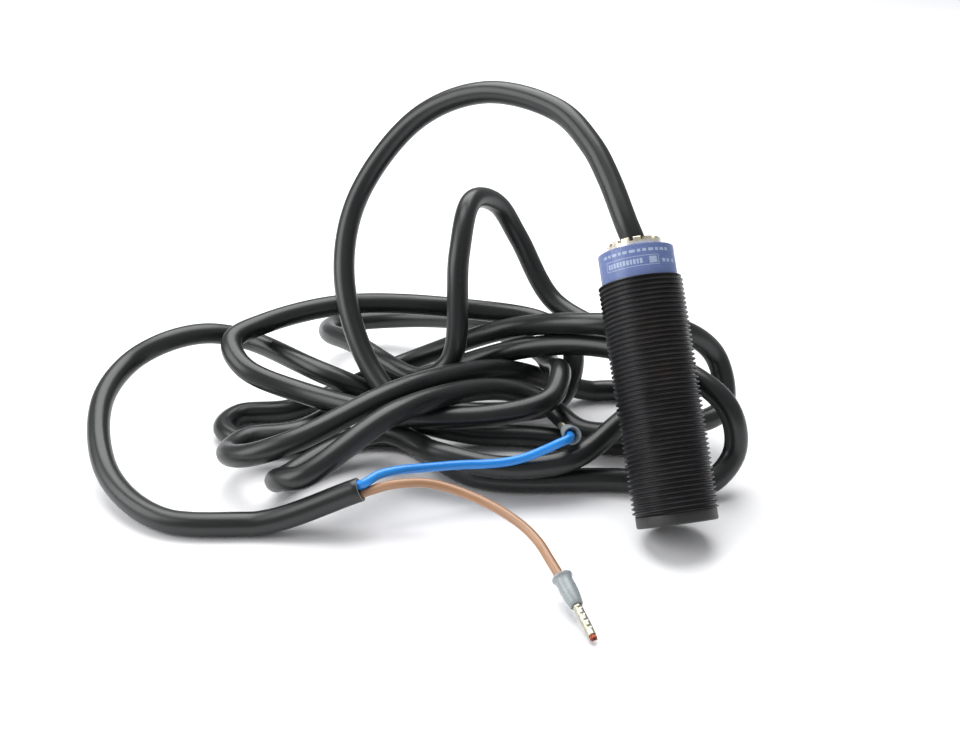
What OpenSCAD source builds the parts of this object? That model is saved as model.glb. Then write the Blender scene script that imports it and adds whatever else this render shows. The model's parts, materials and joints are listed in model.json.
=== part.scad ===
// Cylindrical inductive proximity sensor, M18 x 1 plastic barrel, with a two-wire cable.
// Millimetres. The origin is the centre of the sensing face, +Z is up, and the sensor leans
// back so that its front rim and its cable stand on one level surface.

/* [Barrel] */
// Outside diameter of the thread
thread_d = 18; // [17.8:0.1:18.2]
// Distance from one thread crest to the next
thread_pitch = 1; // [1:0.5:2]
// Depth of the thread from crest to root
thread_depth = 0.6; // [0.4:0.05:0.7]
// Length of the threaded stretch
thread_len = 49; // [40:1:49]
// Inside diameter of the barrel
barrel_bore_d = 15.2; // [14.8:0.1:15.4]

/* [Front] */
// Diameter of the plain rim around the sensing face
face_d = 17; // [16.6:0.1:17.2]
// Height of the plain rim
face_rim_h = 2.5; // [2:0.1:3]
// Thickness of the plastic in front of the coil
face_wall = 1; // [0.8:0.1:1.2]

/* [Rear] */
// Height of the clear rear cover above the thread
cover_h = 7.5; // [7:0.5:9]
// Outside diameter of the rear cover
cover_d = 17; // [16.6:0.1:17.2]
// Outside diameter of the castellated ring
ring_d = 11.6; // [11.2:0.1:12]
// Height of the ring above the rear cover
ring_proud = 1.4; // [1:0.1:2]
// Number of notches in the ring
ring_notches = 14; // [8:1:16]

/* [Cable] */
// Outside diameter of the cable sheath
cable_d = 5.2; // [4.8:0.1:5.4]
// Outside diameter of each core
core_d = 2; // [1.6:0.1:2.2]

/* [Ferrules] */
// Length of the plastic collar
collar_len = 7.2; // [6:0.2:8]
// Outside diameter of the metal barrel
ferrule_d = 1.8; // [1.6:0.1:1.9]
// Length of the metal barrel outside the collar
ferrule_len = 7; // [6:0.5:8]

/* [Placing] */
// Lean of the sensor from upright, in degrees
lean = 34.5; // [34:0.1:35]
// Compass direction of the lean, in degrees from +X
lean_dir = 103.6; // [103:0.1:104]

/* [Hidden] */
$fn = 96;

// Heights along the sensor's own axis, from the sensing face
barrel_top = face_rim_h + thread_len;
cover_top = barrel_top + cover_h;
ring_top = cover_top + ring_proud;
crest_w = 0.25;
crest_count = floor(thread_len / thread_pitch);
thread_r = thread_d / 2;
root_r = thread_r - thread_depth;
bore_r = barrel_bore_d / 2;
face_r = face_d / 2;
cap_skirt_h = 3.5;
cap_skirt_w = 0.6;
cover_r = cover_d / 2;
cover_wall = 0.45;
cover_edge_r = 1.1;
cover_spigot_h = 5;
cover_spigot_w = 0.7;
band_gap = 0.05;
band_w = 0.4;
band_low = barrel_top + 0.4;
band_high = cover_top - 0.8;
seal_r = 0.4;
seal_z = barrel_top - 2.5;
ring_r = ring_d / 2;
ring_bore_r = 4.2;
ring_low = cover_top - 5;
notch_w = 0.8;
notch_depth = 0.8;
cable_r = cable_d / 2;
core_r = core_d / 2;
grommet_low = cover_top - 6;
cord_start = cover_top + 0.5;
tail_low = 46.5;
clamp_low = 48;
clamp_h = 2.5;
clamp_w = 0.8;
plug_low = 45.5;
plug_top = grommet_low;
plug_r = 6.8;

// The sensing head behind the face
core_low = face_wall + 0.1;
core_h = 6.4;
ferrite_r = 6.8;
ferrite_wall = 1.1;
post_r = 2.5;
core_floor = 1.5;
bobbin_low = core_low + 0.2;
bobbin_h = core_h - core_floor - 0.3;
bobbin_in_r = post_r + 0.1;
bobbin_out_r = ferrite_r - ferrite_wall - 0.1;
flange_h = 0.4;
hub_w = 0.5;
holder_low = core_low + core_h + 0.1;
holder_h = 3;

// The circuit board stands on edge through the axis
board_low = holder_low + 1;
board_w = 12.4;
board_t = 1;
board_top = 44.5;
board_gap = 0.1;
oscillator_z = 14;
switch_z = 28;
rectifier_z = 34;
chip_t = 1.6;
suppressor_z = 36;
suppressor_r = 3.4;
suppressor_t = 2.2;
capacitor_spots = [14, 18];
back_capacitor_spots = [13, 18, 23];
resistor_spots = [13, 16, 19, 22, 25];
back_resistor_spots = [12, 15, 18, 21, 24, 27];
zener_spots = [23, 25.2];
led_spot = [3.6, 40];
led_size = [1.6, 0.8, 2.4];
solder_r = 0.8;
inner_wire_r = 0.2;
coil_exit_x = 4;
pad_z = board_top - 2.5;
pad_x = 2.6;
lead_x = 1.25;

// Ferrule sizes: 0 is the collar's mouth, and the tip is along +Z
mouth_r = 2.1;
collar_r = 1.7;
flare_h = 1.6;
wire_stop = 4;
inner_barrel_r = 1.1;
ferrule_r = ferrule_d / 2;
ferrule_top = collar_len + ferrule_len;
strand_r = 0.58;
strand_proud = 1.2;

// The sensor's axis, and a point on it
axis_dir = [sin(lean) * cos(lean_dir), sin(lean) * sin(lean_dir), cos(lean)];
function on_axis(s) = s * axis_dir;

// The cable's route, chosen by hand: the big arch, the loops of the heap, and the end loop
cable_route = [
    on_axis(cord_start), on_axis(cord_start + 1), [-9.5, 35.5, 53], [-13, 44, 61],
    [-16.5, 50.5, 66.5], [-23.5, 59, 72], [-40, 70, 73.5], [-56.5, 76, 65.5], [-71, 73, 47],
    [-74, 62, 31], [-68, 49, 14], [-57, 40, 4], [-45, 41, -1], [-30, 41, -2], [-2, 37, -2],
    [8, 43, -2], [10, 54, -2], [2, 64, -2], [-13, 65, -2], [-36, 52.5, 10], [-59, 32, 15],
    [-80, 16.5, 11], [-91, 16.5, 7], [-97.5, 23.5, 3.5], [-94.5, 32, 2.5], [-83.5, 33, 3.5],
    [-72, 50, 2], [-54, 62.5, 3.5], [-30, 56.5, 14], [-12, 46.5, 19], [6, 29, 20], [14, 24, 14],
    [15.5, 22, 4], [8, 18, -2], [-9, 21, -2], [-42, 22.5, -2], [-60, 40.5, -2], [-82, 38, -2],
    [-96, 38, -2], [-103, 45, -2], [-100.5, 52, -2], [-87.5, 55, -2], [-61, 71.5, 2.5],
    [-34, 62.5, 16.5], [-13, 47.5, 24.5], [4, 44, 25], [15, 47, 16], [16, 40.5, 5.5], [0, 34, 4],
    [-17, 35.5, 2.5], [-26, 43.5, 6], [-36, 43, 9.5], [-59, 22.5, 14.5], [-78, 7.5, 7],
    [-83.5, 10.5, 4.5], [-85, 20, -1], [-65, 35, 2.5], [-51, 22, 4.5], [-36, 18, 3],
    [-21, 20.5, 3.5], [-10, 28, 8], [1, 41, 13], [-1, 57, 13], [-22, 77, 18], [-31, 83, 33],
    [-36.5, 81.5, 42.5], [-43, 72, 46.5], [-46, 60, 37], [-48, 52, 13], [-55, 53, 7.5],
    [-74, 71, 9], [-81, 81, 7], [-81, 93, 4], [-70, 99, 3], [-45, 89, 7], [-26, 62, 10.5],
    [-23.5, 55, 10], [-22, 45, 13], [-25, 36, 10.5], [-38, 31, 9], [-59, 31, 9], [-83, 41.5, 9.5],
    [-97, 46.5, 13.5], [-101, 54, 17], [-94, 61.5, 18.5], [-75, 66, 21.5], [-45, 70.5, 18.5],
    [-24, 66.5, 16], [-18, 58, 12], [-22, 50, 3], [-38, 51, -1], [-60, 49, 3], [-78, 50, 10],
    [-100, 66, 12], [-109, 63, 15], [-118, 58, 15], [-126, 52.5, 12], [-129.5, 39, 8],
    [-123.5, 19, 1], [-108.5, 5, -2], [-87.5, 3.5, -2], [-66, 4, 6]
];
// The two cores leave the cut end of the cable one above the other
cord_end = cable_route[len(cable_route) - 1];
cord_out = unit(cord_end - cable_route[len(cable_route) - 2]);
cord_side = unit([0, 0, 1] - cord_out[2] * cord_out);
core_gap = core_r + 0.05;
blue_start = cord_end + core_gap * cord_side;
brown_start = cord_end - core_gap * cord_side;
blue_route = [
    blue_start, blue_start + 1.5 * cord_out, [-62.3, 6.1, 8.2], [-57.8, 8, 8.3], [-53, 9.9, 7.7],
    [-45.3, 12.8, 6.7], [-41, 14.1, 6.1], [-35.4, 15.2, 6], [-31, 15.9, 6.8], [-27.1, 16.4, 8.3],
    [-23.7, 16.9, 9.8], [-21.7, 18, 10.2]
];
brown_route = [
    brown_start, brown_start + 2 * cord_out, [-60.8, 4, 6.8], [-57.6, 4, 7.4], [-52.2, 4.4, 7.3],
    [-46.8, 3.5, 6.4], [-41, 1, 5.3], [-35.7, -2.6, 4.2], [-31.7, -6.4, 3.1], [-29.1, -10.4, 2.2],
    [-27.3, -14.6, 1.3]
];
// Where each ferrule's mouth lies, and where its tip lies
blue_mouth = [-20.8, 20.5, 9.6];
blue_tip = [-22.3, 34.5, 4.6];
brown_mouth = [-25.2, -18.9, 0.4];
brown_tip = [-19.8, -32.8, -3.9];

function unit(v) = v / norm(v);
function toward(from, to, s) = from + s * unit(to - from);

// The direction of a route at its point i
function heading(p, i) =
    i == 0 ? unit(p[1] - p[0])
    : i == len(p) - 1 ? unit(p[i] - p[i - 1])
    : unit(unit(p[i + 1] - p[i]) + unit(p[i] - p[i - 1]));

// A side direction carried along the route without twist
function square_to(n, t) = unit(n - (n * t) * t);
function sides_along(p) = [
    for (i = 0, n = square_to([1, 0, 0.3], heading(p, 0));
         i < len(p);
         i = i + 1, n = i < len(p) ? square_to(n, heading(p, i)) : n)
    n
];

// A closed tube with one ring at each point of the route
module tube_along(p, r, sides) {
    n = sides_along(p);
    rings = [
        for (i = [0 : len(p) - 1]) for (k = [0 : sides - 1])
        let (a = 360 * k / sides, t = heading(p, i))
        p[i] + r * (cos(a) * n[i] + sin(a) * cross(t, n[i]))
    ];
    walls = [
        for (i = [0 : len(p) - 2]) for (k = [0 : sides - 1])
        let (a = i * sides + k, b = i * sides + (k + 1) % sides)
        each [[a, a + sides, b + sides], [a, b + sides, b]]
    ];
    first_end = [for (k = [0 : sides - 1]) k];
    last_end = [for (k = [sides - 1 : -1 : 0]) (len(p) - 1) * sides + k];
    polyhedron(rings, concat(walls, [first_end], [last_end]), 10);
}

// Stands the sensor's own axis in its leaning place
module leaning() {
    rotate([0, 0, lean_dir])
        rotate([0, lean, 0])
            children();
}

// Points a shape's +Z from one place to another
module aimed(from, to) {
    d = unit(to - from);
    translate(from)
        rotate([0, acos(d[2]), atan2(d[1], d[0])])
            children();
}

// A straight round rod between two places
module rod(from, to, r) {
    aimed(from, to)
        cylinder(r = r, h = norm(to - from), $fn = 32);
}

// A ring or tube between two heights
module tube(low, high, out_r, in_r) {
    rotate_extrude()
        translate([in_r, low])
            square([out_r - in_r, high - low]);
}

module sensing_face_cap() {
    color("#4b4b45") leaning() {
        difference() {
            cylinder(r = face_r, h = face_rim_h);
            translate([0, 0, face_wall])
                cylinder(r = bore_r - cap_skirt_w, h = face_rim_h);
        }
        tube(face_rim_h, face_rim_h + cap_skirt_h, bore_r, bore_r - cap_skirt_w);
    }
}

// One outline holds the whole barrel, with a flat crest at each turn of the thread
module barrel() {
    half = crest_w / 2;
    outline = concat(
        [[bore_r, face_rim_h], [root_r, face_rim_h]],
        [for (i = [0 : crest_count - 1])
            let (z = face_rim_h + (i + 0.5) * thread_pitch)
            each [
                [root_r, z - 0.4 * thread_pitch], [thread_r, z - half],
                [thread_r, z + half], [root_r, z + 0.4 * thread_pitch]
            ]],
        [[root_r, barrel_top], [bore_r, barrel_top]]
    );
    color("#26272a") leaning()
        rotate_extrude()
            polygon(outline);
}

module rear_cover() {
    in_r = cover_r - cover_wall;
    edge = [for (a = [0 : 15 : 90])
        [cover_r - cover_edge_r * (1 - cos(a)), cover_top - cover_edge_r * (1 - sin(a))]];
    outline = concat(
        [[bore_r - cover_spigot_w, barrel_top - cover_spigot_h],
         [bore_r, barrel_top - cover_spigot_h], [bore_r, seal_z - seal_r],
         [bore_r - seal_r, seal_z - seal_r], [bore_r - seal_r, seal_z + seal_r],
         [bore_r, seal_z + seal_r], [bore_r, barrel_top], [cover_r, barrel_top]],
        edge,
        [[ring_r, cover_top], [ring_r, band_high + 0.2], [in_r, band_high + 0.2],
         [in_r, band_low - 0.2], [bore_r - cover_spigot_w, band_low - 0.2]]
    );
    color("#c9d3e4", 0.45) leaning()
        rotate_extrude()
            polygon(outline);
}

module label_band() {
    out_r = cover_r - cover_wall - band_gap;
    color("#3f62b8") leaning()
        tube(band_low, band_high, out_r, out_r - band_w);
}

module retaining_ring() {
    color("#c9a24e") leaning()
        difference() {
            union() {
                tube(ring_low, ring_top, ring_r - 0.02, ring_bore_r);
                tube(ring_low, ring_low + 1.5, plug_r, ring_bore_r);
            }
            for (k = [0 : ring_notches - 1])
                rotate([0, 0, 360 * k / ring_notches])
                    translate([ring_bore_r - 1, -notch_w / 2, ring_top - notch_depth])
                        cube([ring_r, notch_w, notch_depth + 1]);
        }
}

module cable_grommet() {
    color("#1c1c1e") leaning()
        tube(grommet_low, cord_start, ring_bore_r - 0.02, cable_r + 0.01);
}

module cover_seal() {
    color("#151515") leaning()
        rotate_extrude()
            translate([bore_r - seal_r / 2, seal_z])
                circle(r = seal_r / 2 - 0.01, $fn = 24);
}

// The end of the cable inside the sensor
module cable_tail() {
    color("#232325") leaning()
        translate([0, 0, tail_low])
            cylinder(r = cable_r, h = cord_start - tail_low);
}

module cable_clamp() {
    color("#b9bcc0") leaning()
        tube(clamp_low, clamp_low + clamp_h, cable_r + clamp_w, cable_r + 0.01);
}

module potting_plug() {
    color("#2d2f33") leaning()
        difference() {
            translate([0, 0, plug_low])
                cylinder(r = plug_r, h = plug_top - plug_low);
            translate([0, 0, tail_low])
                cylinder(r = cable_r + 0.01, h = cover_h + 20);
            translate([0, 0, clamp_low - 0.01])
                cylinder(r = cable_r + clamp_w + 0.01, h = clamp_h + 0.02);
            for (s = [-1, 1])
                translate([s * lead_x, 0, plug_low - 1])
                    cylinder(r = core_r + 0.02, h = 2.5);
        }
}

module ferrite_core() {
    color("#3a3a3c") leaning()
        difference() {
            translate([0, 0, core_low])
                cylinder(r = ferrite_r, h = core_h);
            difference() {
                translate([0, 0, core_low - 1])
                    cylinder(r = ferrite_r - ferrite_wall, h = core_h - core_floor + 1);
                translate([0, 0, core_low - 2])
                    cylinder(r = post_r, h = core_h + 4);
            }
            for (s = [-1, 1])
                translate([s * coil_exit_x, 0, core_low])
                    cylinder(r = 0.6, h = core_h + 1, $fn = 24);
        }
}

module coil_bobbin() {
    color("#d8cfae") leaning() {
        tube(bobbin_low, bobbin_low + bobbin_h, bobbin_in_r + hub_w, bobbin_in_r);
        for (z = [bobbin_low, bobbin_low + bobbin_h - flange_h])
            tube(z, z + flange_h, bobbin_out_r, bobbin_in_r + hub_w - 0.01);
    }
}

module coil_winding() {
    low = bobbin_low + flange_h + 0.02;
    high = bobbin_low + bobbin_h - flange_h - 0.02;
    color("#b5652a") leaning()
        tube(low, high, bobbin_out_r - 0.3, bobbin_in_r + hub_w + 0.02);
}

module coil_leads() {
    color("#b5652a") leaning()
        for (s = [-1, 1])
            rod(
                [s * coil_exit_x, 0, bobbin_low + bobbin_h + 0.05],
                [s * coil_exit_x, 1, board_low + 1.5], inner_wire_r
            );
}

module core_holder() {
    color("#e4e0d2") leaning()
        difference() {
            translate([0, 0, holder_low])
                cylinder(r = bore_r - 0.15, h = holder_h);
            translate([-board_w / 2 - 0.05, -board_t / 2 - 0.05, board_low])
                cube([board_w + 0.1, board_t + 0.1, holder_h]);
            for (s = [-1, 1])
                translate([s * coil_exit_x - 0.6, -0.6, holder_low - 1])
                    cube([1.2, 2.6, holder_h + 2]);
        }
}

module circuit_board() {
    color("#1f6b45") leaning()
        translate([-board_w / 2, -board_t / 2, board_low])
            cube([board_w, board_t, board_top - board_low]);
}

// A package lying on the board, with pins along two sides
module package(x, z, w, h, t, pins, pin_w) {
    translate([x - w / 2, board_t / 2 + board_gap, z])
        cube([w, t, h]);
    for (s = [-1, 1])
        for (k = [0 : pins - 1])
            translate([x + s * (w / 2 + 0.4) - 0.4, board_t / 2, z + h * (k + 0.5) / pins])
                cube([0.8, 0.6, pin_w]);
}

module oscillator_chip() {
    color("#202124") leaning()
        package(0, oscillator_z, 4, 5, chip_t, 4, 0.45);
}

module output_switch() {
    color("#27282c") leaning()
        package(0, switch_z, 6, 3.6, chip_t, 2, 0.9);
}

module bridge_rectifier() {
    color("#1d1e22") leaning()
        package(0, rectifier_z, 4.4, 4.4, chip_t, 2, 0.7);
}

// A disc on the back of the board, with its two wires
module surge_suppressor() {
    color("#2f5fa8") leaning() {
        translate([0, -board_t / 2 - 0.4, suppressor_z])
            rotate([90, 0, 0])
                cylinder(r = suppressor_r, h = suppressor_t);
        for (s = [-1, 1])
            translate([s * 1.6 - 0.25, -board_t / 2 - 0.4, suppressor_z])
                cube([0.5, 0.4, 5]);
    }
}

// A row of block parts on one side of the board
module chip_row(side, x, spots, w, h, t) {
    for (z = spots)
        translate([x - w / 2, side > 0 ? board_t / 2 : -board_t / 2 - t, z])
            cube([w, t, h]);
}

module capacitors() {
    color("#b99b6b") leaning() {
        chip_row(1, -4.6, capacitor_spots, 1.4, 2.4, 1.1);
        chip_row(-1, 3.6, back_capacitor_spots, 2, 3.2, 1.4);
    }
}

module resistors() {
    color("#17181a") leaning() {
        chip_row(1, 4.7, resistor_spots, 1.2, 2, 0.5);
        chip_row(-1, -3.4, back_resistor_spots, 1.2, 2, 0.5);
    }
}

module zener_diodes() {
    color("#c4553a") leaning()
        for (z = zener_spots)
            translate([-1.6, board_t / 2 + 0.75, z])
                rotate([0, 90, 0])
                    cylinder(r = 0.7, h = 3.4, $fn = 32);
}

module status_led() {
    color("#f0c23c") leaning() {
        translate([led_spot[0], board_t / 2, led_spot[1]])
            cube(led_size);
        translate([led_spot[0] + led_size[0] / 2, board_t / 2 + led_size[1], led_spot[1] + led_size[2] / 2])
            rotate([-90, 0, 0])
                cylinder(r1 = 0.6, r2 = 0.5, h = 0.5, $fn = 32);
    }
}

// One core's end, with its bare wire running down to the board
module inner_lead(s) {
    bend = [s * lead_x, 0.6, board_top + 1.2];
    pad = [s * pad_x, board_t / 2 + 0.5, pad_z - 0.3];
    translate([s * lead_x, 0, board_top + 0.5])
        cylinder(r = core_r, h = tail_low - board_top - 0.5);
    rod(bend, pad, inner_wire_r);
}

module brown_inner_lead() {
    color("#a9713f") leaning()
        inner_lead(1);
}

module blue_inner_lead() {
    color("#2f86d8") leaning()
        inner_lead(-1);
}

module solder_joints() {
    color("#c8ccd0") leaning()
        for (s = [-1, 1])
            translate([s * pad_x, board_t / 2, pad_z - 1.2])
                intersection() {
                    sphere(r = solder_r, $fn = 32);
                    translate([-2, 0, -2])
                        cube(4);
                }
}

module cable_sheath() {
    color("#2c2e30")
        tube_along(cable_route, cable_r, 8);
}

module blue_wire() {
    color("#1e82e6")
        tube_along(concat(blue_route, [toward(blue_mouth, blue_tip, wire_stop)]), core_r, 8);
}

module brown_wire() {
    color("#c8916e")
        tube_along(concat(brown_route, [toward(brown_mouth, brown_tip, wire_stop)]), core_r, 8);
}

module ferrule_collar() {
    rotate_extrude($fn = 48)
        polygon([
            [core_r + 0.15, 1.4], [mouth_r - 0.3, 0], [mouth_r, 0], [mouth_r, 0.5],
            [collar_r, flare_h], [collar_r - 0.1, collar_len - 0.3],
            [collar_r - 0.4, collar_len], [inner_barrel_r + 0.01, collar_len],
            [inner_barrel_r + 0.01, wire_stop + 0.2], [core_r + 0.15, wire_stop + 0.1]
        ]);
}

// The metal barrel is pressed in at four bands
module ferrule_barrel() {
    bands = 4;
    band_h = 0.35;
    band_step = 1.5;
    dent = 0.18;
    difference() {
        union() {
            translate([0, 0, wire_stop + 0.3])
                cylinder(r = inner_barrel_r, h = collar_len - wire_stop - 0.3, $fn = 48);
            cylinder(r = ferrule_r, h = ferrule_top, $fn = 48);
        }
        translate([0, 0, -1])
            cylinder(r = ferrule_r + 1, h = wire_stop + 1.3, $fn = 48);
        cylinder(r = strand_r + 0.01, h = ferrule_top + 1, $fn = 48);
        for (k = [0 : bands - 1])
            translate([0, 0, collar_len + 0.8 + k * band_step])
                tube(0, band_h, ferrule_r + 1, ferrule_r - dent);
    }
}

module copper_strands() {
    translate([0, 0, wire_stop + 0.3])
        cylinder(r = strand_r, h = ferrule_top - wire_stop - 0.3 + strand_proud - strand_r, $fn = 32);
    translate([0, 0, ferrule_top + strand_proud - strand_r])
        sphere(r = strand_r, $fn = 32);
}

module blue_ferrule_collar() {
    color("#8f9ba6") aimed(blue_mouth, blue_tip)
        ferrule_collar();
}

module brown_ferrule_collar() {
    color("#8f9ba6") aimed(brown_mouth, brown_tip)
        ferrule_collar();
}

module blue_ferrule_barrel() {
    color("#b7b19a") aimed(blue_mouth, blue_tip)
        ferrule_barrel();
}

module brown_ferrule_barrel() {
    color("#b7b19a") aimed(brown_mouth, brown_tip)
        ferrule_barrel();
}

module blue_strands() {
    color("#8a2f22") aimed(blue_mouth, blue_tip)
        copper_strands();
}

module brown_strands() {
    color("#8a2f22") aimed(brown_mouth, brown_tip)
        copper_strands();
}

sensing_face_cap();
barrel();
rear_cover();
label_band();
retaining_ring();
cable_grommet();
cover_seal();
cable_tail();
cable_clamp();
potting_plug();
ferrite_core();
coil_bobbin();
coil_winding();
coil_leads();
core_holder();
circuit_board();
oscillator_chip();
output_switch();
bridge_rectifier();
surge_suppressor();
capacitors();
resistors();
zener_diodes();
status_led();
brown_inner_lead();
blue_inner_lead();
solder_joints();
cable_sheath();
blue_wire();
brown_wire();
blue_ferrule_collar();
brown_ferrule_collar();
blue_ferrule_barrel();
brown_ferrule_barrel();
blue_strands();
brown_strands();
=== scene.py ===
import bpy
import bmesh
import json
import math
import random
from mathutils import Matrix, Vector


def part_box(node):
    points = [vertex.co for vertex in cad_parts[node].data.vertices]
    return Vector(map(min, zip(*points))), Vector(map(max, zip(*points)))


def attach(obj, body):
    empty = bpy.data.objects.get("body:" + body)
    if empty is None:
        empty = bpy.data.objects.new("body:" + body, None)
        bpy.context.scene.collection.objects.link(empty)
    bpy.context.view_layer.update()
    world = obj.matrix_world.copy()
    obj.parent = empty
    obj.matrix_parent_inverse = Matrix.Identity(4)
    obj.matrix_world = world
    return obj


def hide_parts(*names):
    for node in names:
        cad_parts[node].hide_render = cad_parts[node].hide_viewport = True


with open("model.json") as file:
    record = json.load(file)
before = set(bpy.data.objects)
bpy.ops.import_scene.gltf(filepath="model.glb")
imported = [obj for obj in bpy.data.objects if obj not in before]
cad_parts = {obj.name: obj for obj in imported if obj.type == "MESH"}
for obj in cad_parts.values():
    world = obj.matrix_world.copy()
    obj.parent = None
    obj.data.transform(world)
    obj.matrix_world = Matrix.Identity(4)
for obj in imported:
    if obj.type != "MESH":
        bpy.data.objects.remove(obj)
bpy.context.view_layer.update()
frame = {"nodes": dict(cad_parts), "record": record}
nodes = frame["nodes"]
MM = 0.001
# the floor is where the sensor or the cable is lowest, in mm
FLOOR = min(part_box(n)[0].z for n in ("sensing_face_cap", "cable_sheath")) / MM

# ---------------------------------------------------------------- camera
cam_data = bpy.data.cameras.new("camera")
cam_data.sensor_width = 36.0
cam_data.lens = 44.55
cam_data.clip_start, cam_data.clip_end = 0.01, 20.0
cam = bpy.data.objects.new("camera", cam_data)
cam.location = (-0.041, -0.2074, 0.137)
cam.rotation_euler = (math.radians(64.0), 0.0, 0.0)
bpy.context.scene.collection.objects.link(cam)
bpy.context.scene.camera = cam

# ---------------------------------------------------------------- sizes of the sensor, in mm
FACE_R, FACE_RIM = 8.5, 2.5
THREAD_R, ROOT_R, BORE_R = 9.0, 8.4, 7.6
THREAD_LENGTH, PITCH = 49.0, 1.0
THREAD_TOP = FACE_RIM + THREAD_LENGTH
COVER_R, COVER_EDGE = 8.5, 1.1
COVER_TOP = THREAD_TOP + 7.5
LABEL_R = 8.06
MOUTH_R = 5.85
RING_R, RING_BORE_R, RING_LOW = 5.78, 4.2, 54.0
RING_TOP = COVER_TOP + 1.4
CORD_START = COVER_TOP + 0.5

# ---------------------------------------------------------------- placing
LEAN, LEAN_DIR = math.radians(34.5), math.radians(103.6)
SENSOR = Matrix.Rotation(LEAN_DIR, 4, "Z") @ Matrix.Rotation(LEAN, 4, "Y")
AXIS = (SENSOR @ Vector((0, 0, 1))).normalized()


def aimed(start, end):
    """The matrix that puts +Z along the line from start to end, in mm."""
    a, b = Vector(start), Vector(end)
    return Matrix.Translation(a) @ (b - a).to_track_quat("Z", "Y").to_matrix().to_4x4()


# ---------------------------------------------------------------- materials
materials = {}


def new_material(name):
    m = bpy.data.materials.new(name)
    m.use_nodes = True
    m.node_tree.nodes.clear()
    out = m.node_tree.nodes.new("ShaderNodeOutputMaterial")
    b = m.node_tree.nodes.new("ShaderNodeBsdfPrincipled")
    m.node_tree.links.new(b.outputs[0], out.inputs[0])
    return m, b


def noise_node(tree, vector, scale, detail=3.0, rough=0.55):
    n = tree.nodes.new("ShaderNodeTexNoise")
    n.inputs["Scale"].default_value = scale
    n.inputs["Detail"].default_value = detail
    n.inputs["Roughness"].default_value = rough
    tree.links.new(vector, n.inputs["Vector"])
    return n.outputs["Fac"]


def spread_node(tree, value, low, high, from_low=0.3, from_high=0.7):
    n = tree.nodes.new("ShaderNodeMapRange")
    n.inputs["From Min"].default_value = from_low
    n.inputs["From Max"].default_value = from_high
    n.inputs["To Min"].default_value = low
    n.inputs["To Max"].default_value = high
    tree.links.new(value, n.inputs["Value"])
    return n.outputs["Result"]


def mix_node(tree, factor, a, b):
    n = tree.nodes.new("ShaderNodeMix")
    n.data_type = "RGBA"
    for socket, c in ((n.inputs[6], a), (n.inputs[7], b)):
        if isinstance(c, bpy.types.NodeSocket):
            tree.links.new(c, socket)
        else:
            socket.default_value = (*c, 1.0)
    tree.links.new(factor, n.inputs[0])
    return n.outputs[2]


def surface(
    name, base, other, rough, spread=0.08, size=3.0, grain=0.25, bump=0.15, depth=0.02,
    metallic=0.0, coat=0.0, specular=0.5, transmission=0.0, alpha=1.0, lay=None,
    patch=None, patch_size=12.0,
):
    """A procedural finish. Sizes are in mm: size of the colour variation, grain of the bump.
    lay stretches the pattern along a cord, whose points carry the attribute named lay.
    patch is the colour of worn or tarnished spots."""
    m, b = new_material(name)
    t = m.node_tree
    if lay:
        a = t.nodes.new("ShaderNodeAttribute")
        a.attribute_name = "lay"
        mp = t.nodes.new("ShaderNodeMapping")
        mp.inputs["Scale"].default_value = (1.0, 1.0, lay)
        t.links.new(a.outputs["Vector"], mp.inputs["Vector"])
        vector, unit = mp.outputs[0], 1.0
    else:
        a = t.nodes.new("ShaderNodeTexCoord")
        vector, unit = a.outputs["Object"], 1000.0
    broad = noise_node(t, vector, unit / size)
    fine = noise_node(t, vector, unit / grain, 4.0)
    colour = mix_node(t, spread_node(t, broad, 0.0, 1.0), base, other)
    if patch:
        worn = noise_node(t, vector, unit / patch_size, 5.0, 0.65)
        colour = mix_node(t, spread_node(t, worn, 0.0, 0.75, 0.52, 0.72), colour, patch)
    t.links.new(colour, b.inputs["Base Color"])
    mixed = t.nodes.new("ShaderNodeMath")
    mixed.operation = "ADD"
    t.links.new(spread_node(t, broad, rough - spread, rough + spread), mixed.inputs[0])
    t.links.new(spread_node(t, fine, -0.4 * spread, 0.4 * spread), mixed.inputs[1])
    t.links.new(mixed.outputs[0], b.inputs["Roughness"])
    bn = t.nodes.new("ShaderNodeBump")
    bn.inputs["Strength"].default_value = bump
    bn.inputs["Distance"].default_value = depth * MM
    t.links.new(fine, bn.inputs["Height"])
    t.links.new(bn.outputs[0], b.inputs["Normal"])
    b.inputs["Metallic"].default_value = metallic
    b.inputs["Coat Weight"].default_value = coat
    b.inputs["Coat Roughness"].default_value = 0.12
    b.inputs["Specular IOR Level"].default_value = specular
    b.inputs["Transmission Weight"].default_value = transmission
    b.inputs["Alpha"].default_value = alpha
    materials[name] = m


surface("face_plastic", (0.018, 0.0185, 0.0175), (0.026, 0.026, 0.024), 0.5, size=2.5, grain=0.18, bump=0.3)
surface(
    "barrel_plastic", (0.010, 0.0102, 0.0108), (0.016, 0.0163, 0.017), 0.36, size=4.0, grain=0.2,
    bump=0.2, patch=(0.028, 0.021, 0.018), patch_size=9.0, specular=0.4,
)
surface(
    "clear_cover", (0.50, 0.56, 0.80), (0.44, 0.51, 0.78), 0.12, 0.03, size=4.0, grain=0.5,
    bump=0.05, alpha=0.13,
)
surface("label_blue", (0.026, 0.080, 0.27), (0.036, 0.095, 0.31), 0.4, size=2.0, grain=0.2, bump=0.05)
surface("label_white", (0.36, 0.46, 0.60), (0.46, 0.54, 0.64), 0.45, size=0.6, grain=0.15, bump=0.05)
surface(
    "ring_brass", (0.80, 0.72, 0.52), (0.86, 0.80, 0.66), 0.26, size=1.5, grain=0.12, bump=0.2,
    metallic=0.85, patch=(0.50, 0.36, 0.18), patch_size=2.0,
)
surface("seal_rubber", (0.012, 0.012, 0.013), (0.02, 0.02, 0.021), 0.55, grain=0.2)
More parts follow.
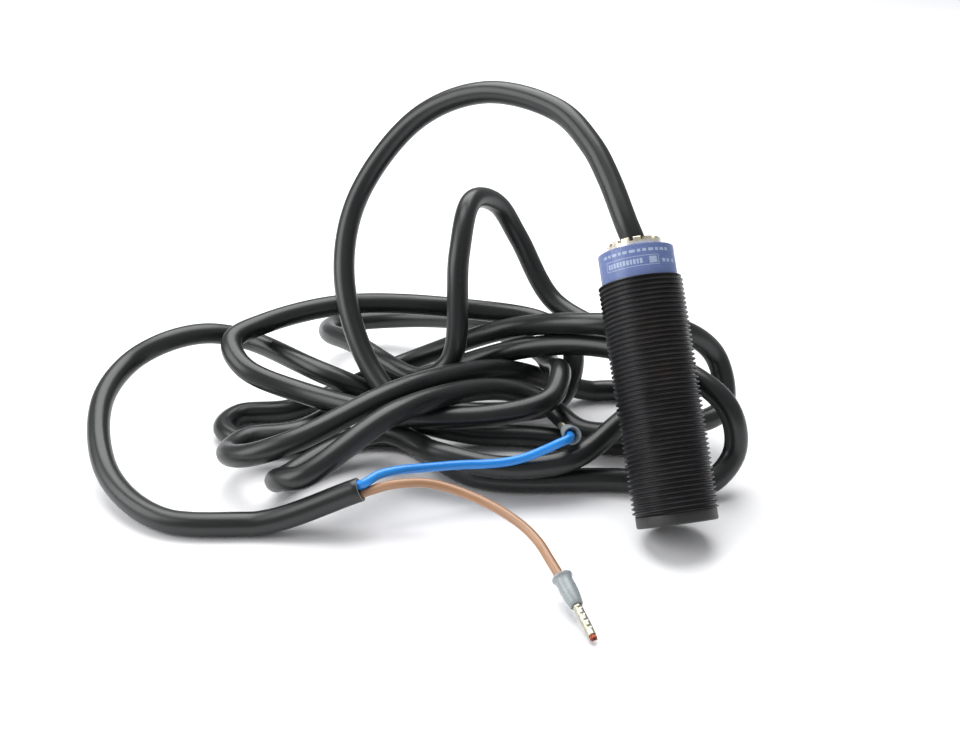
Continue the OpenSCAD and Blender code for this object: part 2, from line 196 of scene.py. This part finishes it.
surface(
    "cable_black", (0.0075, 0.0088, 0.0085), (0.0115, 0.0135, 0.013), 0.33, 0.06, size=1.6, grain=0.35,
    bump=0.12, depth=0.015, lay=0.08, specular=0.5,
)
surface("cable_cut", (0.16, 0.155, 0.14), (0.26, 0.25, 0.22), 0.6, size=0.5, grain=0.15, bump=0.5, depth=0.05)
surface("clamp_steel", (0.5, 0.51, 0.53), (0.42, 0.43, 0.45), 0.3, metallic=1.0)
surface("potting_resin", (0.025, 0.027, 0.032), (0.035, 0.037, 0.042), 0.2)
surface("ferrite_grey", (0.045, 0.045, 0.048), (0.06, 0.06, 0.063), 0.6, grain=0.1, bump=0.4)
surface("bobbin_plastic", (0.68, 0.62, 0.46), (0.62, 0.56, 0.40), 0.5)
surface(
    "copper", (0.42, 0.11, 0.06), (0.24, 0.07, 0.05), 0.36, size=0.4, grain=0.1, metallic=0.85,
    patch=(0.06, 0.03, 0.03), patch_size=0.5,
)
surface("board_green", (0.02, 0.16, 0.07), (0.025, 0.13, 0.06), 0.35)
surface("chip_black", (0.015, 0.015, 0.017), (0.022, 0.022, 0.024), 0.5, grain=0.1)
surface("varistor_blue", (0.04, 0.13, 0.4), (0.05, 0.16, 0.45), 0.3)
surface("capacitor_tan", (0.48, 0.33, 0.15), (0.42, 0.29, 0.14), 0.45)
surface("diode_red", (0.5, 0.1, 0.05), (0.6, 0.16, 0.08), 0.15)
surface("led_yellow", (0.85, 0.55, 0.05), (0.8, 0.5, 0.08), 0.2)
surface(
    "wire_brown", (0.31, 0.155, 0.075), (0.36, 0.195, 0.105), 0.36, 0.05, size=1.2, grain=0.3,
    bump=0.08, lay=0.1, coat=0.2,
)
surface(
    "wire_blue", (0.004, 0.20, 0.66), (0.008, 0.25, 0.74), 0.30, 0.05, size=1.2, grain=0.3,
    bump=0.08, lay=0.1, coat=0.25,
)
surface("solder", (0.6, 0.61, 0.62), (0.5, 0.51, 0.52), 0.25, metallic=1.0)
surface(
    "collar_grey", (0.40, 0.44, 0.45), (0.33, 0.38, 0.40), 0.32, size=1.0, grain=0.25, bump=0.15,
    transmission=0.35, coat=0.2,
)
surface(
    "tinned_metal", (0.55, 0.53, 0.42), (0.40, 0.39, 0.31), 0.34, size=0.5, grain=0.12, bump=0.3,
    metallic=0.9, patch=(0.16, 0.15, 0.11), patch_size=0.8,
)


def finish_with(o, name):
    """Gives the object one material, the one of the given name."""
    o.data.materials.clear()
    o.data.materials.append(materials[name])


slot_of = {s["node"]: s["material_slot"] for s in frame["record"]["subparts"]}
for n, o in nodes.items():
    finish_with(o, slot_of[n])


# ---------------------------------------------------------------- mesh helpers
def add_mesh(name, verts, faces, finish, matrix=None, sharp=35.0, extra=(), marks=None):
    """A new piece from points in mm. marks gives a face's material number, 0 by default."""
    me = bpy.data.meshes.new(name)
    matrix = matrix or Matrix.Identity(4)
    me.from_pydata([(matrix @ Vector(v)) * MM for v in verts], [], faces)
    me.validate()
    bm = bmesh.new()
    bm.from_mesh(me)
    bmesh.ops.recalc_face_normals(bm, faces=bm.faces)
    bm.to_mesh(me)
    bm.free()
    me.shade_smooth()
    me.set_sharp_from_angle(angle=math.radians(sharp))
    o = bpy.data.objects.new(name, me)
    bpy.context.scene.collection.objects.link(o)
    finish_with(o, finish)
    for e in extra:
        me.materials.append(materials[e])
    if marks:
        for p in me.polygons:
            p.material_index = marks.get(p.index, 0)
    return o


def add_bmesh(name, bm, finish, sharp):
    """A new piece of the sensor from a bmesh in mm, which is used up."""
    bm.verts.index_update()
    verts = [tuple(v.co) for v in bm.verts]
    faces = [tuple(v.index for v in f.verts) for f in bm.faces]
    bm.free()
    return add_mesh(name, verts, faces, finish, SENSOR, sharp)


def lathe(name, outline, finish, matrix=SENSOR, sides=128, sharp=35.0, closed=True, shape=None):
    """Turns an outline of (radius, height) about the axis. shape(r, z, angle) may change a radius."""
    verts, faces, n = [], [], len(outline)
    for k in range(sides):
        a = 2 * math.pi * k / sides
        for r, z in outline:
            q = shape(r, z, a) if shape else r
            verts.append((q * math.cos(a), q * math.sin(a), z))
    for k in range(sides):
        m = (k + 1) % sides
        for i in range(n if closed else n - 1):
            j = (i + 1) % n
            if outline[i][0] < 1e-6 and outline[j][0] < 1e-6:
                continue
            if outline[i][0] < 1e-6:
                faces.append((k * n + i, k * n + j, m * n + j))
            elif outline[j][0] < 1e-6:
                faces.append((k * n + i, k * n + j, m * n + i))
            else:
                faces.append((k * n + i, k * n + j, m * n + j, m * n + i))
    return add_mesh(name, verts, faces, finish, matrix, sharp)


def smooth_route(points, step):
    """A smooth curve through the points (centripetal Catmull-Rom), sampled evenly, in mm."""
    p = [Vector(q) for q in points]
    p = [2 * p[0] - p[1]] + p + [2 * p[-1] - p[-2]]
    fine = []
    for i in range(1, len(p) - 2):
        a, b, c, d = p[i - 1 : i + 3]
        t1 = (b - a).length ** 0.5
        t2 = t1 + (c - b).length ** 0.5
        t3 = t2 + (d - c).length ** 0.5
        for s in range(12):
            t = t1 + (t2 - t1) * s / 12
            u = a.lerp(b, t / t1)
            v = b.lerp(c, (t - t1) / (t2 - t1))
            w = c.lerp(d, (t - t2) / (t3 - t2))
            x, y = u.lerp(v, t / t2), v.lerp(w, (t - t1) / (t3 - t1))
            fine.append(x.lerp(y, (t - t1) / (t2 - t1)))
    fine.append(p[-2])
    reach = [0.0]
    for a, b in zip(fine, fine[1:]):
        reach.append(reach[-1] + (b - a).length)
    count = max(2, round(reach[-1] / step))
    out, j = [], 0
    for i in range(count + 1):
        s = reach[-1] * i / count
        while j < len(reach) - 2 and reach[j + 1] < s:
            j += 1
        out.append(fine[j].lerp(fine[j + 1], (s - reach[j]) / max(1e-9, reach[j + 1] - reach[j])))
    return out


def tube(name, centres, radius, sides, finish, end_rings=(), extra=()):
    """A cord as a mesh tube. end_rings are (radius, distance past the end, material number)."""
    tangents = []
    for i in range(len(centres)):
        a, b = centres[max(0, i - 1)], centres[min(len(centres) - 1, i + 1)]
        tangents.append((b - a).normalized())
    side = Vector((0.3, 0.2, 1.0))
    verts, faces, lay, marks, run = [], [], [], {}, 0.0

    def ring(centre, tangent, normal, r, at):
        other = tangent.cross(normal)
        for k in range(sides):
            a = 2 * math.pi * k / sides
            verts.append(centre + r * (math.cos(a) * normal + math.sin(a) * other))
            lay.append((r * math.cos(a), r * math.sin(a), at))

    def wall(i, mark=0):
        for k in range(sides):
            m = (k + 1) % sides
            if mark:
                marks[len(faces)] = mark
            faces.append((i * sides + k, i * sides + m, (i + 1) * sides + m, (i + 1) * sides + k))

    for i, (c, t) in enumerate(zip(centres, tangents)):
        side = (side - side.dot(t) * t).normalized()
        if i:
            run += (c - centres[i - 1]).length
        ring(c, t, side, radius, run)
        if i:
            wall(i - 1)
    rings = len(centres)
    for r, past, mark in end_rings:
        ring(centres[-1] + tangents[-1] * past, tangents[-1], side, r, run + past)
        wall(rings - 1, mark)
        rings += 1
    last = [(rings - 1) * sides + k for k in range(sides)]
    if end_rings:
        marks[len(faces)] = end_rings[-1][2]
    faces.append(tuple(last))
    faces.append(tuple(range(sides - 1, -1, -1)))
    o = add_mesh(name, verts, faces, finish, sharp=50.0, extra=extra, marks=marks)
    at = o.data.attributes.new("lay", "FLOAT_VECTOR", "POINT")
    for i, v in enumerate(lay):
        at.data[i].vector = v
    return o


# ---------------------------------------------------------------- cords
CABLE_R, CORE_R = 2.6, 1.0
cable_points = [
    AXIS * CORD_START, AXIS * (CORD_START + 1), (-9.5, 35.5, 53), (-13, 44, 61), (-16.5, 50.5, 66.5),
    (-23.5, 59, 72), (-40, 70, 73.5), (-56.5, 76, 65.5), (-71, 73, 47), (-74, 62, 31),
    (-68, 49, 14), (-57, 40, 4), (-45, 41, -1), (-30, 41, -2), (-2, 37, -2), (8, 43, -2),
    (10, 54, -2), (2, 64, -2), (-13, 65, -2), (-36, 52.5, 10), (-59, 32, 15), (-80, 16.5, 11),
    (-91, 16.5, 7), (-97.5, 23.5, 3.5), (-94.5, 32, 2.5), (-83.5, 33, 3.5), (-72, 50, 2),
    (-54, 62.5, 3.5), (-30, 56.5, 14), (-12, 46.5, 19), (6, 29, 20), (14, 24, 14), (15.5, 22, 4),
    (8, 18, -2), (-9, 21, -2), (-42, 22.5, -2), (-60, 40.5, -2), (-82, 38, -2), (-96, 38, -2),
    (-103, 45, -2), (-100.5, 52, -2), (-87.5, 55, -2), (-61, 71.5, 2.5), (-34, 62.5, 16.5),
    (-13, 47.5, 24.5), (4, 44, 25), (15, 47, 16), (16, 40.5, 5.5), (0, 34, 4), (-17, 35.5, 2.5),
    (-26, 43.5, 6), (-36, 43, 9.5), (-59, 22.5, 14.5), (-78, 7.5, 7), (-83.5, 10.5, 4.5),
    (-85, 20, -1), (-65, 35, 2.5), (-51, 22, 4.5), (-36, 18, 3), (-21, 20.5, 3.5), (-10, 28, 8),
    (1, 41, 13), (-1, 57, 13), (-22, 77, 18), (-31, 83, 33), (-36.5, 81.5, 42.5), (-43, 72, 46.5),
    (-46, 60, 37), (-48, 52, 13), (-55, 53, 7.5), (-74, 71, 9), (-81, 81, 7), (-81, 93, 4),
    (-70, 99, 3), (-45, 89, 7), (-26, 62, 10.5), (-23.5, 55, 10), (-22, 45, 13), (-25, 36, 10.5),
    (-38, 31, 9), (-59, 31, 9), (-83, 41.5, 9.5), (-97, 46.5, 13.5), (-101, 54, 17),
    (-94, 61.5, 18.5), (-75, 66, 21.5), (-45, 70.5, 18.5), (-24, 66.5, 16), (-18, 58, 12),
    (-22, 50, 3), (-38, 51, -1), (-60, 49, 3), (-78, 50, 10), (-100, 66, 12), (-109, 63, 15),
    (-118, 58, 15), (-126, 52.5, 12), (-129.5, 39, 8), (-123.5, 19, 1), (-108.5, 5, -2),
    (-87.5, 3.5, -2), (-66, 4, 6),
]
cord_end = Vector(cable_points[-1])
cord_out = (cord_end - Vector(cable_points[-2])).normalized()
cord_side = (Vector((0, 0, 1)) - cord_out.z * cord_out).normalized()
blue_start = cord_end + (CORE_R + 0.05) * cord_side
brown_start = cord_end - (CORE_R + 0.05) * cord_side
blue_mouth, blue_tip = Vector((-20.8, 20.5, 9.6)), Vector((-22.3, 34.5, 4.6))
brown_mouth, brown_tip = Vector((-25.2, -18.9, 0.4)), Vector((-19.8, -32.8, -3.9))
WIRE_STOP, COLLAR, PIN = 4.0, 7.2, 7.0
blue_points = [
    blue_start, blue_start + 1.5 * cord_out, (-62.3, 6.1, 8.2), (-57.8, 8, 8.3), (-53, 9.9, 7.7),
    (-45.3, 12.8, 6.7), (-41, 14.1, 6.1), (-35.4, 15.2, 6), (-31, 15.9, 6.8), (-27.1, 16.4, 8.3),
    (-23.7, 16.9, 9.8), (-21.7, 18, 10.2),
    blue_mouth + WIRE_STOP * (blue_tip - blue_mouth).normalized(),
]
brown_points = [
    brown_start, brown_start + 2 * cord_out, (-60.8, 4, 6.8), (-57.6, 4, 7.4), (-52.2, 4.4, 7.3),
    (-46.8, 3.5, 6.4), (-41, 1, 5.3), (-35.7, -2.6, 4.2), (-31.7, -6.4, 3.1), (-29.1, -10.4, 2.2),
    (-27.3, -14.6, 1.3),
    brown_mouth + WIRE_STOP * (brown_tip - brown_mouth).normalized(),
]


def resting(points, radius):
    """Keeps a route's centre a radius above the floor."""
    return [Vector((p.x, p.y, max(p.z, FLOOR + radius))) for p in points]


cable_line = resting(smooth_route(cable_points, 1.2), CABLE_R)
blue_line = resting(smooth_route(blue_points, 0.6), CORE_R)
brown_line = resting(smooth_route(brown_points, 0.6), CORE_R)
sheath = tube(
    "cable", cable_line, CABLE_R, 24, "cable_black",
    end_rings=[(2.56, 0.06, 0), (2.5, 0.1, 1), (2.12, 0.1, 1), (2.06, -0.05, 1), (2.02, -1.6, 2)],
    extra=("cable_cut", "seal_rubber"),
)
blue_core = tube("blue_core", blue_line, CORE_R, 20, "wire_blue")
brown_core = tube("brown_core", brown_line, CORE_R, 20, "wire_brown")
for o, n in ((sheath, "cable_sheath"), (blue_core, "blue_wire"), (brown_core, "brown_wire")):
    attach(o, "root")
    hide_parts(n)


# ---------------------------------------------------------------- ferrules
def ferrule(colour, mouth, tip):
    place = aimed(mouth, tip)
    outer = [
        (1.72, 0.02), (2.02, 0.0), (2.1, 0.08), (2.1, 0.42), (2.02, 0.52), (1.86, 0.7), (1.76, 1.1),
        (1.74, 1.8), (1.78, 3.0), (1.74, 4.2), (1.62, 5.4), (1.48, 6.4), (1.38, 6.95), (1.24, 7.16),
        (1.1, COLLAR), (1.0, COLLAR), (1.0, WIRE_STOP + 0.5), (1.12, WIRE_STOP), (1.15, 1.6), (1.5, 0.5),
    ]
    collar = lathe(f"{colour}_collar", outer, "collar_grey", place, 48, 40.0)

    def crimped(r, z, a):
        bite = 0.0
        for k in range(4):
            d = abs(z - (COLLAR + 0.975 + 1.5 * k)) / 0.42
            if d < 1:
                bite = max(bite, (1 - d * d) * (0.10 + 0.10 * math.cos(4 * a)))
        taper = 1.0 - 0.1 * max(0.0, z - COLLAR - 4.5) / 2.5
        return r * taper - bite if r > 0.75 else r * taper

    heights = [COLLAR - 0.1 + 0.1 * i for i in range(int(PIN / 0.1) + 2)]
    end = COLLAR + PIN
    wall = [(0.9, z) for z in heights] + [(0.84, end + 0.06), (0.6, end + 0.02), (0.6, COLLAR - 0.1)]
    barrel = lathe(f"{colour}_ferrule", wall, "tinned_metal", place, 40, 40.0, shape=crimped)
    rng = random.Random(7 if colour == "blue" else 3)
    verts, faces = [], []
    spots = [(0.0, 0.0)] + [(0.27, 60 * k) for k in range(6)] + [(0.52, 30 * k + 12) for k in range(12)]
    for r, a in spots:
        base, top = COLLAR + PIN - 0.8, COLLAR + PIN + 1.15 - 0.5 * r + rng.uniform(-0.22, 0.1)
        flare = 1.0 + rng.uniform(0.05, 0.35)
        a, turn = math.radians(a), math.radians(22 + rng.uniform(-5, 5))
        first, steps = len(verts), 7
        for i in range(steps + 2):
            f = min(1.0, i / steps)
            z = base + (top - base) * f
            q, b = r * (1.0 + (flare - 1.0) * f * f) * (0.92 if r > 0.4 else 1.0), a + turn * f
            w = 0.135 if i <= steps else 0.07
            z += 0.0 if i <= steps else 0.05
            for k in range(8):
                c = math.pi * k / 4
                verts.append((q * math.cos(b) + w * math.cos(c), q * math.sin(b) + w * math.sin(c), z))
        for i in range(steps + 1):
            for k in range(8):
                m = (k + 1) % 8
                p = first + i * 8
                faces.append((p + k, p + m, p + 8 + m, p + 8 + k))
        faces.append(tuple(first + k for k in range(7, -1, -1)))
        faces.append(tuple(first + (steps + 1) * 8 + k for k in range(8)))
    strands = add_mesh(f"{colour}_copper", verts, faces, "copper", place, 50.0)
    for o, n in ((collar, "ferrule_collar"), (barrel, "ferrule_barrel"), (strands, "strands")):
        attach(o, "root")
        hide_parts(f"{colour}_{n}")
    return [collar, barrel, strands]


blue_fitting = ferrule("blue", blue_mouth, blue_tip)
brown_fitting = ferrule("brown", brown_mouth, brown_tip)


# ---------------------------------------------------------------- threaded barrel
def threaded_barrel():
    """A helical thread, cut off flat at both ends and closed by the bore."""
    sides = 144
    # one thread as (part of a pitch from its middle, radius)
    form = [
        (-0.40, ROOT_R), (-0.385, ROOT_R + 0.02), (-0.10, THREAD_R - 0.03), (-0.07, THREAD_R),
        (0.07, THREAD_R), (0.10, THREAD_R - 0.03), (0.385, ROOT_R + 0.02), (0.40, ROOT_R),
    ]
    # extra turns below and above the thread, which the cuts take off
    turns = range(-1, round(THREAD_LENGTH / PITCH) + 2)
    rows = [(FACE_RIM + (turn + 0.5 + f) * PITCH, r) for turn in turns for f, r in form]
    angles = [2 * math.pi * k / sides for k in range(sides + 1)]
    bm = bmesh.new()
    grid = [
        [
            bm.verts.new((r * math.cos(a), r * math.sin(a), z + PITCH * k / sides))
            for k, a in enumerate(angles)
        ]
        for z, r in rows
    ]
    for i in range(len(rows) - 1):
        for k in range(sides):
            bm.faces.new((grid[i][k], grid[i][k + 1], grid[i + 1][k + 1], grid[i + 1][k]))
    bmesh.ops.remove_doubles(bm, verts=bm.verts, dist=0.002)
    for z, sign in ((FACE_RIM, -1), (THREAD_TOP, 1)):
        geom = bm.verts[:] + bm.edges[:] + bm.faces[:]
        bmesh.ops.bisect_plane(bm, geom=geom, plane_co=(0, 0, z), plane_no=(0, 0, sign), clear_outer=True)
    for z in (FACE_RIM, THREAD_TOP):
        edges = [e for e in bm.edges if e.is_boundary and all(abs(v.co.z - z) < 1e-4 for v in e.verts)]
        for v in bmesh.ops.extrude_edge_only(bm, edges=edges)["geom"]:
            if isinstance(v, bmesh.types.BMVert):
                q = math.hypot(v.co.x, v.co.y)
                v.co.x, v.co.y = v.co.x * BORE_R / q, v.co.y * BORE_R / q
    bottom = [bm.verts.new((BORE_R * math.cos(a), BORE_R * math.sin(a), FACE_RIM)) for a in angles[:-1]]
    top = [bm.verts.new((v.co.x, v.co.y, THREAD_TOP)) for v in bottom]
    for k in range(sides):
        m = (k + 1) % sides
        bm.faces.new((bottom[k], top[k], top[m], bottom[m]))
    return add_bmesh("threaded_barrel", bm, "barrel_plastic", 28.0)


barrel = threaded_barrel()
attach(barrel, "root")
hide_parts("barrel")

# ---------------------------------------------------------------- front cap
cap = lathe(
    "front_cap",
    [
        (0, 0), (7.9, 0), (8.2, 0.03), (8.38, 0.12), (8.48, 0.28), (FACE_R, 0.45), (FACE_R, 2.2),
        (8.46, 2.38), (8.36, FACE_RIM), (BORE_R, FACE_RIM), (BORE_R, 6.0), (7.0, 6.0), (7.0, 1.0), (0, 1.0),
    ],
    "face_plastic", closed=False,
)
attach(cap, "root")
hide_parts("sensing_face_cap")

# ---------------------------------------------------------------- rear cover
edge = []
for a in range(0, 91, 10):
    across, up = 1 - math.cos(math.radians(a)), 1 - math.sin(math.radians(a))
    edge.append((COVER_R - COVER_EDGE * across, COVER_TOP - COVER_EDGE * up))
cover = lathe(
    "clear_cover",
    [(COVER_R, THREAD_TOP + 0.02), (COVER_R, 53), (COVER_R, 56)] + edge
    + [
        (6.6, COVER_TOP), (MOUTH_R, COVER_TOP), (MOUTH_R, COVER_TOP - 0.5), (7.6, COVER_TOP - 0.5),
        (8.1, COVER_TOP - 0.8), (8.1, THREAD_TOP + 0.02),
    ],
    "clear_cover",
)
band = lathe(
    "label",
    [
        (LABEL_R, 51.7), (LABEL_R, 58.15), (7.6, 58.4), (MOUTH_R, 58.4), (MOUTH_R, 58.0), (7.6, 58.0),
        (7.6, 51.7),
    ],
    "label_blue",
)
for o, n in ((cover, "rear_cover"), (band, "label_band")):
    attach(o, "root")
    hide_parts(n)


def print_marks():
    """Plain bars and a frame in place of the printing, on the label's surface."""
    verts, faces = [], []

    def bar(a0, a1, z0, z1):
        steps = max(1, round(abs(a1 - a0) / 3))
        first = len(verts)
        for i in range(steps + 1):
            a = math.radians(a0 + (a1 - a0) * i / steps)
            for r in (LABEL_R + 0.005, LABEL_R + 0.025):
                for z in (z0, z1):
                    verts.append((r * math.cos(a), r * math.sin(a), z))
        for i in range(steps):
            p = first + 4 * i
            for q, w in ((2, 3), (0, 2), (1, 0), (3, 1)):
                faces.append((p + q, p + w, p + 4 + w, p + 4 + q))
        faces.append((first, first + 1, first + 3, first + 2))
        last = first + 4 * steps
        faces.append((last, last + 2, last + 3, last + 1))

    bar(108, 194, 55.6, 55.72)
    bar(108, 194, 53.6, 53.72)
    bar(108, 109, 53.72, 55.6)
    bar(193, 194, 53.72, 55.6)
    a = 112
    for width in (4, 3, 4, 4, 3, 4, 4, 3, 4, 3, 4):
        bar(a, a + width, 54.1, 55.15)
        a += width + 1.6
    bar(178.5, 190.5, 53.95, 55.35)
    a = 104
    for width in (7, 5, 8, 4, 7, 9, 5, 6, 8, 5, 7, 6):
        bar(a, a + width, 56.55, 57.15)
        a += width + 3
    for a in (200, 209, 221):
        bar(a, a + 6, 54.1, 54.8)
    return add_mesh("label_marks", verts, faces, "label_white", SENSOR, 30.0)


marks = print_marks()
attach(marks, "root")


# ---------------------------------------------------------------- ring at the cable
def castellated_ring():
    """A ring with square notches in its top, and a small bevel between them."""
    notches, notch_depth, notch_half, bevel = 14, 0.8, 0.4, 0.12
    w = notch_half / (0.5 * (RING_R + RING_BORE_R))
    span = 2 * math.pi / notches
    # (angle, whether the notch is cut there)
    angles = []
    for k in range(notches):
        mid = 2 * math.pi * k / notches
        angles += [(mid - w, True), (mid + w, True), (mid + w, False)]
        angles += [(mid + w + (span - 2 * w) * s / 5, False) for s in range(1, 5)]
        angles.append((mid + span - w, False))
    bm = bmesh.new()
    columns = []
    for a, cut in angles:
        top = RING_TOP - notch_depth if cut else RING_TOP
        b = 0.0 if cut else bevel
        outline = (
            (RING_R, RING_LOW), (RING_R, top - b), (RING_R - b, top), (RING_BORE_R + b, top),
            (RING_BORE_R, top - b), (RING_BORE_R, RING_LOW),
        )
        columns.append([bm.verts.new((r * math.cos(a), r * math.sin(a), z)) for r, z in outline])
    for i, a in enumerate(columns):
        b = columns[(i + 1) % len(columns)]
        for j in range(6):
            bm.faces.new((a[j], b[j], b[(j + 1) % 6], a[(j + 1) % 6]))
    bmesh.ops.remove_doubles(bm, verts=bm.verts, dist=1e-5)
    bmesh.ops.dissolve_degenerate(bm, edges=bm.edges, dist=1e-6)
    return add_bmesh("brass_ring", bm, "ring_brass", 30.0)


ring = castellated_ring()
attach(ring, "root")
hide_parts("retaining_ring")
grommet = lathe(
    "cable_grommet_part",
    [
        (4.18, 53.0), (4.18, COVER_TOP), (4.05, 59.3), (3.8, 59.5), (3.0, 59.55), (2.72, 59.5),
        (2.62, 59.3), (2.62, 53.0),
    ],
    "seal_rubber", sides=96,
)
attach(grommet, "root")
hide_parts("cable_grommet")

# ---------------------------------------------------------------- floor and light
FLOOR_HALF, FLOOR_GAP = 3.0, 0.0001
floor_mesh = bpy.data.meshes.new("floor")
z = FLOOR * MM - FLOOR_GAP
corners = [(x * FLOOR_HALF, y * FLOOR_HALF, z) for x, y in ((-1, -1), (1, -1), (1, 1), (-1, 1))]
floor_mesh.from_pydata(corners, [], [(0, 1, 2, 3)])
floor = bpy.data.objects.new("floor", floor_mesh)
bpy.context.scene.collection.objects.link(floor)
m, b = new_material("floor_white")
b.inputs["Base Color"].default_value = (0.93, 0.93, 0.94, 1)
b.inputs["Roughness"].default_value = 0.6
b.inputs["Specular IOR Level"].default_value = 0.2
floor.data.materials.append(m)

world = bpy.data.worlds.new("studio")
world.use_nodes = True
world.node_tree.nodes["Background"].inputs[0].default_value = (0.96, 0.97, 1.0, 1)
world.node_tree.nodes["Background"].inputs[1].default_value = 0.42
bpy.context.scene.world = world


def area(name, place, target, width, power):
    light = bpy.data.lights.new(name, "AREA")
    light.shape, light.size, light.energy = "SQUARE", width, power
    o = bpy.data.objects.new(name, light)
    o.location = place
    o.rotation_euler = (Vector(target) - Vector(place)).to_track_quat("-Z", "Y").to_euler()
    bpy.context.scene.collection.objects.link(o)


area("key", (-0.10, 0.34, 0.72), (-0.04, 0.04, 0.02), 0.75, 9.0)
area("left_fill", (-0.62, -0.10, 0.36), (-0.04, 0.04, 0.02), 0.5, 3.2)
bpy.context.scene.view_settings.view_transform = "Standard"
